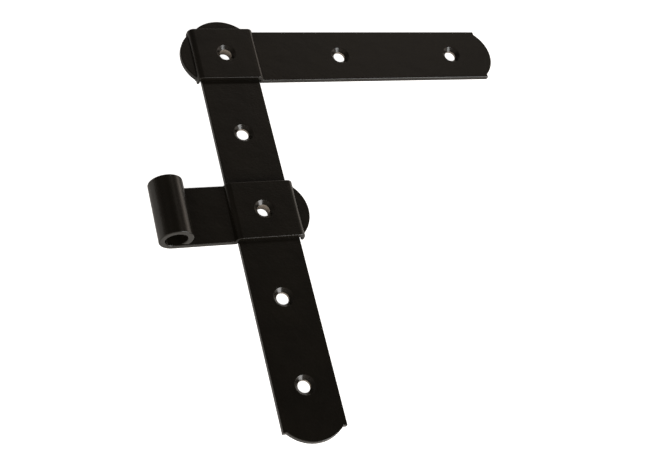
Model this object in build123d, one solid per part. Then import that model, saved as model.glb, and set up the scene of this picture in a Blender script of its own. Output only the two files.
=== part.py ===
from build123d import *
import os
from math import cos, radians, sin, sqrt

# Sizes in mm. X runs from the pin out along the straps, Y along the pin,
# Z is up. The origin is on the axis of the pin, half way along the eye.

# the flat bar that all three pieces are made from
bar_width = 40.0
bar_thickness = 3.8
edge_rounding = 0.7
shoulder = 2.5          # short square step at each side of a round end
shoulder_radius = 0.5   # in the corner between the shoulder and the arc
end_radius = 23.6

# rolled eye of the hinge strap
pin_diameter = 13.8
eye_play = 0.2          # the eye's bore is this much over the pin
lip_outer_angle = 35.0  # the lip is cut nearly level, so its outer face
lip_inner_angle = 53.0  # stops sooner below the pin's axis than its inner

# vertical bar, heights from the middle of the eye
bar_from_pin = 61.0
bar_top = 148.3
bar_bottom = -151.9
corner_height = 119.6
upper_bolt = 58.8
lower_bolt = -59.4
lowest_bolt = -116.8

# horizontal bar, distances from the middle line of the vertical bar
arm_reach = 202.4
arm_bolts = (83.7, 170.7)

# hinge strap, same datum
strap_shift = 0.7       # the pressed step sits a little towards the stub

# the pressed step that lifts a bar over the vertical bar
side_play = 0.8
step_wall = 1.7
step_lean = 0.35
stub_set = 0.05         # shoulders of the stub, out from the middle of the wall
foot_radius = 0.3
inside_radius = 0.25
root_radius = 1.1

# bolt holes
bolt_hole = 8.0
countersink = 13.0
rim_rounding = 0.35

half_width = bar_width / 2
eye_bore_radius = (pin_diameter + eye_play) / 2
eye_outer_radius = eye_bore_radius + bar_thickness
pocket_half = half_width + side_play
step_half = pocket_half + step_wall
ridge_radius = inside_radius + bar_thickness
lift = bar_thickness
big = 60.0


def end_depth():
    # how far the arc of a round end stands out from its shoulders
    chord = half_width - shoulder
    return end_radius - sqrt(end_radius**2 - chord**2)


def step_end(centre):
    # where the foot of the step has run out into the flat
    return centre + step_half + step_lean + foot_radius


def stub_reach(centre):
    # tip of the stub that sticks out past the step, whose shoulders are
    # lost in the step's wall
    return centre + step_half + stub_set + end_depth()


def rounded_end(shoulders, tip):
    # shoulder, arc and shoulder of a round end
    chord = half_width - shoulder
    return [
        Line((shoulders, -half_width), (shoulders, -chord)),
        ThreePointArc((shoulders, -chord), (tip, 0), (shoulders, chord)),
        Line((shoulders, chord), (shoulders, half_width)),
    ]


def bar_plan(start, stop):
    # outline of a bar along X, seen from above, with round ends
    left, right = start + end_depth(), stop - end_depth()
    sides = [Line((left, y), (right, y)) for y in (-half_width, half_width)]
    plan = make_face(sides + rounded_end(left, start) + rounded_end(right, stop))
    inner = half_width - shoulder
    corners = plan.vertices().filter_by(lambda v: abs(abs(v.Y) - inner) < 1e-4)
    return fillet(corners, shoulder_radius)


def flat_bar(start, stop):
    # a flat bar with round ends, its top and back edges rounded
    bar = extrude(bar_plan(start, stop), bar_thickness)
    levels = bar.edges().group_by(Axis.Z)
    return fillet(levels[0] + levels[-1], edge_rounding)


def between(low, high):
    # all of the space between two values of X
    return Pos((low + high) / 2, 0, 0) * Box(high - low, 2 * bar_width, 2 * big)


def step_corners(centre, half, low, lean):
    # corners of the pressed step, from left to right, in X and Z
    return [
        (centre - half - lean, low),
        (centre - half + lean, low + lift),
        (centre + half - lean, low + lift),
        (centre + half + lean, low),
    ]


def stepped_lines(start, stop, centre):
    # top and back of a bar that climbs over the vertical bar, in X and Z
    top = FilletPolyline(
        (start, bar_thickness),
        *step_corners(centre, step_half, bar_thickness, step_lean),
        (stop, bar_thickness),
        radius=(foot_radius, ridge_radius, ridge_radius, foot_radius),
    )
    back = FilletPolyline(
        (start, 0),
        *step_corners(centre, pocket_half, 0, 0),
        (stop, 0),
        radius=(root_radius, inside_radius, inside_radius, root_radius),
    )
    return [top, back]


def end_line(x):
    return Line((x, 0), (x, bar_thickness))


def eye_lines():
    # outside, inside and cut end of the rolled eye, in X and Z
    def on_circle(radius, angle):
        turn = radians(angle)
        return (-bar_from_pin + radius * cos(turn), eye_outer_radius + radius * sin(turn))

    outer_end = on_circle(eye_outer_radius, -lip_outer_angle)
    inner_end = on_circle(eye_bore_radius, -lip_inner_angle)
    return [
        ThreePointArc((-bar_from_pin, 0), on_circle(eye_outer_radius, 160), outer_end),
        ThreePointArc((-bar_from_pin, bar_thickness), on_circle(eye_bore_radius, 160), inner_end),
        Line(outer_end, inner_end),
    ]


def pressed_bar(lines, ends):
    # a section in X and Z, as wide as the bar, with its two sides rounded
    section = make_face(lines + [end_line(x) for x in ends])
    bar = extrude(Plane.XZ * section, half_width, both=True)

    def on_side(edge):
        spots = [edge.position_at(f) for f in (0.1, 0.5, 0.9)]
        side = all(abs(abs(p.Y) - half_width) < 1e-4 for p in spots)
        return side and all(abs(spots[1].X - x) > 1e-4 for x in ends)

    return fillet(bar.edges().filter_by(on_side), edge_rounding)


def hole(diameter, x, y):
    return Pos(x, y, 0) * Cylinder(diameter / 2, big)


def countersunk_hole(x, y, top):
    # straight bore with a right-angled cone down from the top face
    wide = countersink / 2
    narrow = bolt_hole / 2
    depth = wide - narrow
    cone = Pos(x, y, top - depth / 2) * Cone(narrow, wide, depth)
    clear = Pos(x, y, top + 2) * Cylinder(wide, 4)
    return hole(bolt_hole, x, y) + cone + clear


def soft_rims(bar):
    # rounds the rims of the countersinks
    def is_rim(edge):
        level = edge.bounding_box().size.Z < 1e-4
        return level and abs(edge.radius - countersink / 2) < 1e-4

    return fillet(bar.edges().filter_by(GeomType.CIRCLE).filter_by(is_rim), rim_rounding)


def vertical_bar():
    bar = Rot(0, 0, 90) * flat_bar(bar_bottom, bar_top)
    for y in (upper_bolt, lower_bolt, lowest_bolt):
        bar -= countersunk_hole(0, y, bar_thickness)
    for y in (corner_height, 0):
        bar -= hole(bolt_hole, 0, y)
    return soft_rims(bar)


def horizontal_bar():
    step = step_end(0)
    ends = (-step - 5, step + 5)
    reach = (-stub_reach(0), arm_reach)
    raised = pressed_bar(stepped_lines(*ends, 0), ends) & between(-step, step)
    raised = raised & extrude(bar_plan(*reach), big)
    bar = flat_bar(*reach) - between(-step, step) + raised
    bar -= countersunk_hole(0, 0, bar_thickness + lift)
    for x in arm_bolts:
        bar -= countersunk_hole(x, 0, bar_thickness)
    return Pos(0, corner_height, 0) * soft_rims(bar)


def hinge_strap():
    step = step_end(strap_shift)
    end = step + 5
    beyond = -bar_from_pin - bar_width
    reach = (beyond, stub_reach(strap_shift))
    lines = stepped_lines(-bar_from_pin, end, strap_shift) + eye_lines()
    rolled = pressed_bar(lines, (end,)) & between(beyond, step)
    rolled = rolled & extrude(bar_plan(*reach), big)
    bar = flat_bar(*reach) - between(2 * beyond, step) + rolled
    bar -= countersunk_hole(0, 0, bar_thickness + lift)
    return soft_rims(bar)


os.makedirs("parts", exist_ok=True)
pieces = {
    "vertical_bar": vertical_bar(),
    "horizontal_bar": horizontal_bar(),
    "hinge_strap": hinge_strap(),
}
# the pieces are drawn on the back of the vertical bar, then moved to the pin
on_pin = Pos(bar_from_pin, 0, -eye_outer_radius)
for name, shape in pieces.items():
    shape = on_pin * shape
    export_step(shape, f"parts/{name}.step")
    print(name, shape.is_valid, len(shape.solids()), shape.bounding_box())
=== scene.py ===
import math

import bpy
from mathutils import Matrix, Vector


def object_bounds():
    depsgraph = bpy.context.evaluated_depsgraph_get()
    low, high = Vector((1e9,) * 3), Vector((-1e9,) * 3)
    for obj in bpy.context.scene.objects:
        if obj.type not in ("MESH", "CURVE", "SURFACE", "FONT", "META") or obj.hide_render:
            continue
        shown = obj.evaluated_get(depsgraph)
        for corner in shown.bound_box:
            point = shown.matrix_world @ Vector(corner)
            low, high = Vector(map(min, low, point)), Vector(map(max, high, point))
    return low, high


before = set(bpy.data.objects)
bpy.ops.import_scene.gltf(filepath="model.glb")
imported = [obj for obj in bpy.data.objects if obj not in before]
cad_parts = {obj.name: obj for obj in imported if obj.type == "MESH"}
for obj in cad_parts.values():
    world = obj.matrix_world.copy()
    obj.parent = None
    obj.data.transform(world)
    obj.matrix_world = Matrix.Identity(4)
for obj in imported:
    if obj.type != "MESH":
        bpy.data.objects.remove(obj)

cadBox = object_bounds()
print("bars loaded", sorted(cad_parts))

scene = bpy.context.scene
scene.view_settings.view_transform = "Standard"


class Socket:
    # one output of a node; arithmetic on it adds Math nodes
    def __init__(self, graph, output):
        self.graph = graph
        self.output = output

    def math(self, operation, *values):
        return self.graph.node("ShaderNodeMath", {"operation": operation}, dict(enumerate(values)))

    def __add__(self, other):
        return self.math("ADD", self, other)

    def __radd__(self, other):
        return self.math("ADD", other, self)

    def __sub__(self, other):
        return self.math("SUBTRACT", self, other)

    def __rsub__(self, other):
        return self.math("SUBTRACT", other, self)

    def __mul__(self, other):
        return self.math("MULTIPLY", self, other)

    def __rmul__(self, other):
        return self.math("MULTIPLY", other, self)


class Graph:
    # the node tree of one material or world
    def __init__(self, owner):
        owner.use_nodes = True
        self.tree = owner.node_tree
        self.tree.nodes.clear()

    def node(self, kind, settings=None, values=None, output=0):
        made = self.tree.nodes.new(kind)
        for name, value in (settings or {}).items():
            if name == "stops":
                self.setStops(made.color_ramp, value)
            else:
                setattr(made, name, value)
        for name, value in (values or {}).items():
            if isinstance(value, Socket):
                self.tree.links.new(value.output, made.inputs[name])
            else:
                made.inputs[name].default_value = value
        return Socket(self, made.outputs[output]) if made.outputs else made

    def mixColours(self, share, first, second):
        # 6 and 7 are the Mix node's colour inputs, 2 its colour output
        return self.node("ShaderNodeMix", {"data_type": "RGBA"}, {0: share, 6: first, 7: second}, output=2)

    def setStops(self, ramp, stops):
        while len(ramp.elements) > len(stops):
            ramp.elements.remove(ramp.elements[-1])
        while len(ramp.elements) < len(stops):
            ramp.elements.new(1.0)
        for element, (position, colour) in zip(ramp.elements, stops):
            element.position = position
            element.color = (*colour, 1.0)


# the black coating on all three bars
coating = {
    "colour": (0.0039, 0.0033, 0.0024),
    "colourWorn": (0.0060, 0.0049, 0.0033),
    "wornFrom": 0.35,          # cloud value at which the worn colour begins
    "wornFull": 0.75,
    "cloudScale": 38.0,        # broad blotches in tone and shine
    "cloudDetail": 4.0,
    "cloudRoughness": 0.6,
    "roughness": 0.22,
    "roughnessSpread": 0.06,   # by the blotches
    "roughnessGrain": 0.08,    # by the orange peel
    "grainScale": 900.0,       # fine orange peel of the coat
    "grainDetail": 3.0,
    "grainDepth": 0.00006,
    "waveScale": 90.0,         # slow waviness of the rolled bar
    "waveDetail": 2.0,
    "waveDepth": 0.00013,
    "specular": 0.5,
    "ior": 1.5,
}

# straight part of the bolt holes, left bare under the countersinks
bores = {
    "barLine": 0.0610,         # x of the vertical bar's holes
    "barHoles": [0.1196, 0.0588, 0.0, -0.0594, -0.1168],
    "armLine": 0.1196,         # y of the horizontal bar's holes
    "armHoles": [0.1447, 0.2317],
    "radius": 0.00405,
    "fade": 0.00012,
    "colour": (0.22, 0.185, 0.15),
    "roughness": 0.5,
}


def boreMask(g, place):
    # 1 within the straight bore of the nearest hole, 0 outside it
    centres = [(bores["barLine"], y, 0.0) for y in bores["barHoles"]]
    centres += [(x, bores["armLine"], 0.0) for x in bores["armHoles"]]
    flat = g.node("ShaderNodeVectorMath", {"operation": "MULTIPLY"}, {0: place, 1: (1.0, 1.0, 0.0)})
    nearest = None
    for centre in centres:
        ends = {0: flat, 1: centre}
        away = g.node("ShaderNodeVectorMath", {"operation": "DISTANCE"}, ends, output="Value")
        nearest = away if nearest is None else nearest.math("MINIMUM", nearest, away)
    return g.node("ShaderNodeMapRange", {"interpolation_type": "SMOOTHSTEP"}, {
        "Value": nearest,
        "From Min": bores["radius"],
        "From Max": bores["radius"] + bores["fade"],
        "To Min": 1.0,
        "To Max": 0.0})


def blackCoating():
    material = bpy.data.materials.new("blackCoating")
    g = Graph(material)
    place = g.node("ShaderNodeTexCoord", output="Object")
    clouds = g.node("ShaderNodeTexNoise", {}, {
        "Vector": place,
        "Scale": coating["cloudScale"],
        "Detail": coating["cloudDetail"],
        "Roughness": coating["cloudRoughness"]})
    peel = g.node("ShaderNodeTexNoise", {}, {
        "Vector": place, "Scale": coating["grainScale"], "Detail": coating["grainDetail"]})
    wave = g.node("ShaderNodeTexNoise", {}, {
        "Vector": place, "Scale": coating["waveScale"], "Detail": coating["waveDetail"]})

    wear = [(coating["wornFrom"], coating["colour"]), (coating["wornFull"], coating["colourWorn"])]
    tone = g.node("ShaderNodeValToRGB", {"stops": wear}, {"Fac": clouds})
    blotches = (clouds - 0.5) * coating["roughnessSpread"]
    grain = (peel - 0.5) * coating["roughnessGrain"]
    rough = blotches + grain + coating["roughness"]

    # no coating in the bores
    bare = boreMask(g, place)
    tone = g.mixColours(bare, tone, (*bores["colour"], 1.0))
    rough = rough + bare * (bores["roughness"] - coating["roughness"])

    slow = g.node("ShaderNodeBump", {}, {
        "Height": wave, "Strength": 1.0, "Distance": coating["waveDepth"]})
    bump = g.node("ShaderNodeBump", {}, {
        "Height": peel, "Strength": 1.0, "Distance": coating["grainDepth"], "Normal": slow})
    shader = g.node("ShaderNodeBsdfPrincipled", {}, {
        "Base Color": tone,
        "Roughness": rough,
        "Normal": bump,
        "Specular IOR Level": coating["specular"],
        "IOR": coating["ior"]})
    g.node("ShaderNodeOutputMaterial", {}, {"Surface": shader})
    return material


def dressBars():
    finish = blackCoating()
    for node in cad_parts.values():
        node.data.materials.clear()
        node.data.materials.append(finish)
    print("bars coated")


# pale floor, nearly white to the camera and dim in the bars' reflections; its colour carries painted
# light, shaded towards the wall side and lighter towards the window side
floor = {
    "size": 6.0,
    "gap": 0.0002,             # below the backs of the bars
    "shadedColourWallSide": (0.60, 0.57, 0.53),
    "litColourWindowSide": (0.92, 0.88, 0.83),
    "paintedLightFrom": -0.5,      # x up to which the floor has the painted shade of the wall side
    "paintedLightTo": 0.9,         # x from which it has the painted light of the window side
    "glowSeen": 0.97,
    "glowReflected": 0.05,
}


def layFloor():
    low, high = cadBox
    bpy.ops.mesh.primitive_plane_add(size=floor["size"], location=(0.0, 0.0, low.z - floor["gap"]))
    sheet = bpy.context.object
    sheet.name = "studioFloor"
    material = bpy.data.materials.new("paleFloor")
    g = Graph(material)
    place = g.node("ShaderNodeTexCoord", output="Object")
    across = g.node("ShaderNodeSeparateXYZ", {}, {"Vector": place}, output="X")
    # painted light: the floor's colour grades from shaded on the wall side to lit on the window side
    side = g.node("ShaderNodeMapRange", {"interpolation_type": "SMOOTHSTEP"}, {
        "Value": across, "From Min": floor["paintedLightFrom"], "From Max": floor["paintedLightTo"]})
    ends = [(0.0, floor["shadedColourWallSide"]), (1.0, floor["litColourWindowSide"])]
    colour = g.node("ShaderNodeValToRGB", {"stops": ends}, {"Fac": side})

    cameraRay = g.node("ShaderNodeLightPath", output="Is Camera Ray")
    glossyRay = g.node("ShaderNodeLightPath", output="Is Glossy Ray")
    throughRay = g.node("ShaderNodeLightPath", output="Is Transmission Ray")
    glow = cameraRay * floor["glowSeen"] + (glossyRay + throughRay) * floor["glowReflected"]
    card = g.node("ShaderNodeBsdfDiffuse", {}, {"Color": colour})
    shine = g.node("ShaderNodeEmission", {}, {"Color": (1.0, 1.0, 1.0, 1.0), "Strength": glow})
    both = g.node("ShaderNodeAddShader", {}, {0: card, 1: shine})
    g.node("ShaderNodeOutputMaterial", {}, {"Surface": both})
    sheet.data.materials.append(material)
    print("floor laid")


# brightness of the room by height, 0 at the horizon and 1 overhead
room = {
    "windowSide": [
        (0.0, 1.60), (0.26, 0.95), (0.44, 0.21), (0.62, 0.16), (0.70, 0.60),
        (0.745, 0.42), (0.768, 0.17), (0.815, 0.18), (0.84, 0.05), (0.90, 0.01)],
    "wallSide": [(0.0, 0.30), (0.17, 0.18), (0.40, 0.08), (0.70, 0.05)],
    "tint": (1.0, 0.88, 0.765),
    "windowShare": [(0.13, 0.0), (0.45, 1.0), (0.487, 1.0), (0.52, 0.25), (0.56, 0.35), (0.61, 1.0)],
    "shareScale": 0.35,        # turns x minus y of a direction into a place on windowShare
    "shareMiddle": 0.5,
}


def lightRoom():
    world = bpy.data.worlds.new("studioRoom")
    scene.world = world
    g = Graph(world)
    direction = g.node("ShaderNodeTexCoord", output="Generated")
    height = g.node("ShaderNodeSeparateXYZ", {}, {"Vector": direction}, output="Z")
    across = g.node("ShaderNodeSeparateXYZ", {}, {"Vector": direction}, output="X")
    along = g.node("ShaderNodeSeparateXYZ", {}, {"Vector": direction}, output="Y")

    def wall(stops):
        tinted = [(h, tuple(level * c for c in room["tint"])) for h, level in stops]
        return g.node("ShaderNodeValToRGB", {"stops": tinted}, {"Fac": height})

    share = [(x, (level, level, level)) for x, level in room["windowShare"]]
    turned = (across - along) * room["shareScale"] + room["shareMiddle"]
    side = g.node("ShaderNodeValToRGB", {"stops": share}, {"Fac": turned})
    walls = g.mixColours(side, wall(room["wallSide"]), wall(room["windowSide"]))
    back = g.node("ShaderNodeBackground", {}, {"Color": walls, "Strength": 1.0})
    g.node("ShaderNodeOutputWorld", {}, {"Surface": back})
    print("room lit")


# bearing from +X and height in degrees; mirrored lamps show in the coating
lamps = {
    "window": {
        "bearing": -50.0, "height": 21.0, "distance": 1.3,
        "width": 0.75, "depth": 0.65, "watts": 12.0, "mirrored": True},
    "fillCard": {
        "bearing": -122.0, "height": 33.0, "distance": 1.3,
        "width": 1.00, "depth": 0.60, "watts": 15.0, "mirrored": False},
}


def hangLamps():
    low, high = cadBox
    middle = (low + high) / 2
    for name, lamp in lamps.items():
        data = bpy.data.lights.new(name, "AREA")
        data.shape = "RECTANGLE"
        data.size = lamp["width"]
        data.size_y = lamp["depth"]
        data.energy = lamp["watts"]
        hung = bpy.data.objects.new(name, data)
        scene.collection.objects.link(hung)
        turn = math.radians(lamp["bearing"])
        rise = math.radians(lamp["height"])
        level = lamp["distance"] * math.cos(rise)
        hung.location = (
            middle.x + level * math.cos(turn),
            middle.y + level * math.sin(turn),
            middle.z + lamp["distance"] * math.sin(rise))
        hung.rotation_euler = (math.pi / 2 - rise, 0.0, turn + math.pi / 2)
        hung.visible_glossy = lamp["mirrored"]
        print("lamp hung:", name)


# where the photograph was taken from
viewpoint = {
    "place": (-0.19726, -0.34865, 0.6329),
    "turn": (30.693, -17.809, -14.197),
    "lens": 68.401,
    "sensor": 36.0,
    "nearest": 0.01,
    "farthest": 50.0,
}


def placeCamera():
    data = bpy.data.cameras.new("photoCamera")
    data.sensor_width = viewpoint["sensor"]
    data.lens = viewpoint["lens"]
    data.clip_start = viewpoint["nearest"]
    data.clip_end = viewpoint["farthest"]
    camera = bpy.data.objects.new("photoCamera", data)
    scene.collection.objects.link(camera)
    camera.location = viewpoint["place"]
    camera.rotation_euler = [math.radians(a) for a in viewpoint["turn"]]
    scene.camera = camera
    print("camera placed")


dressBars()
layFloor()
lightRoom()
hangLamps()
placeCamera()
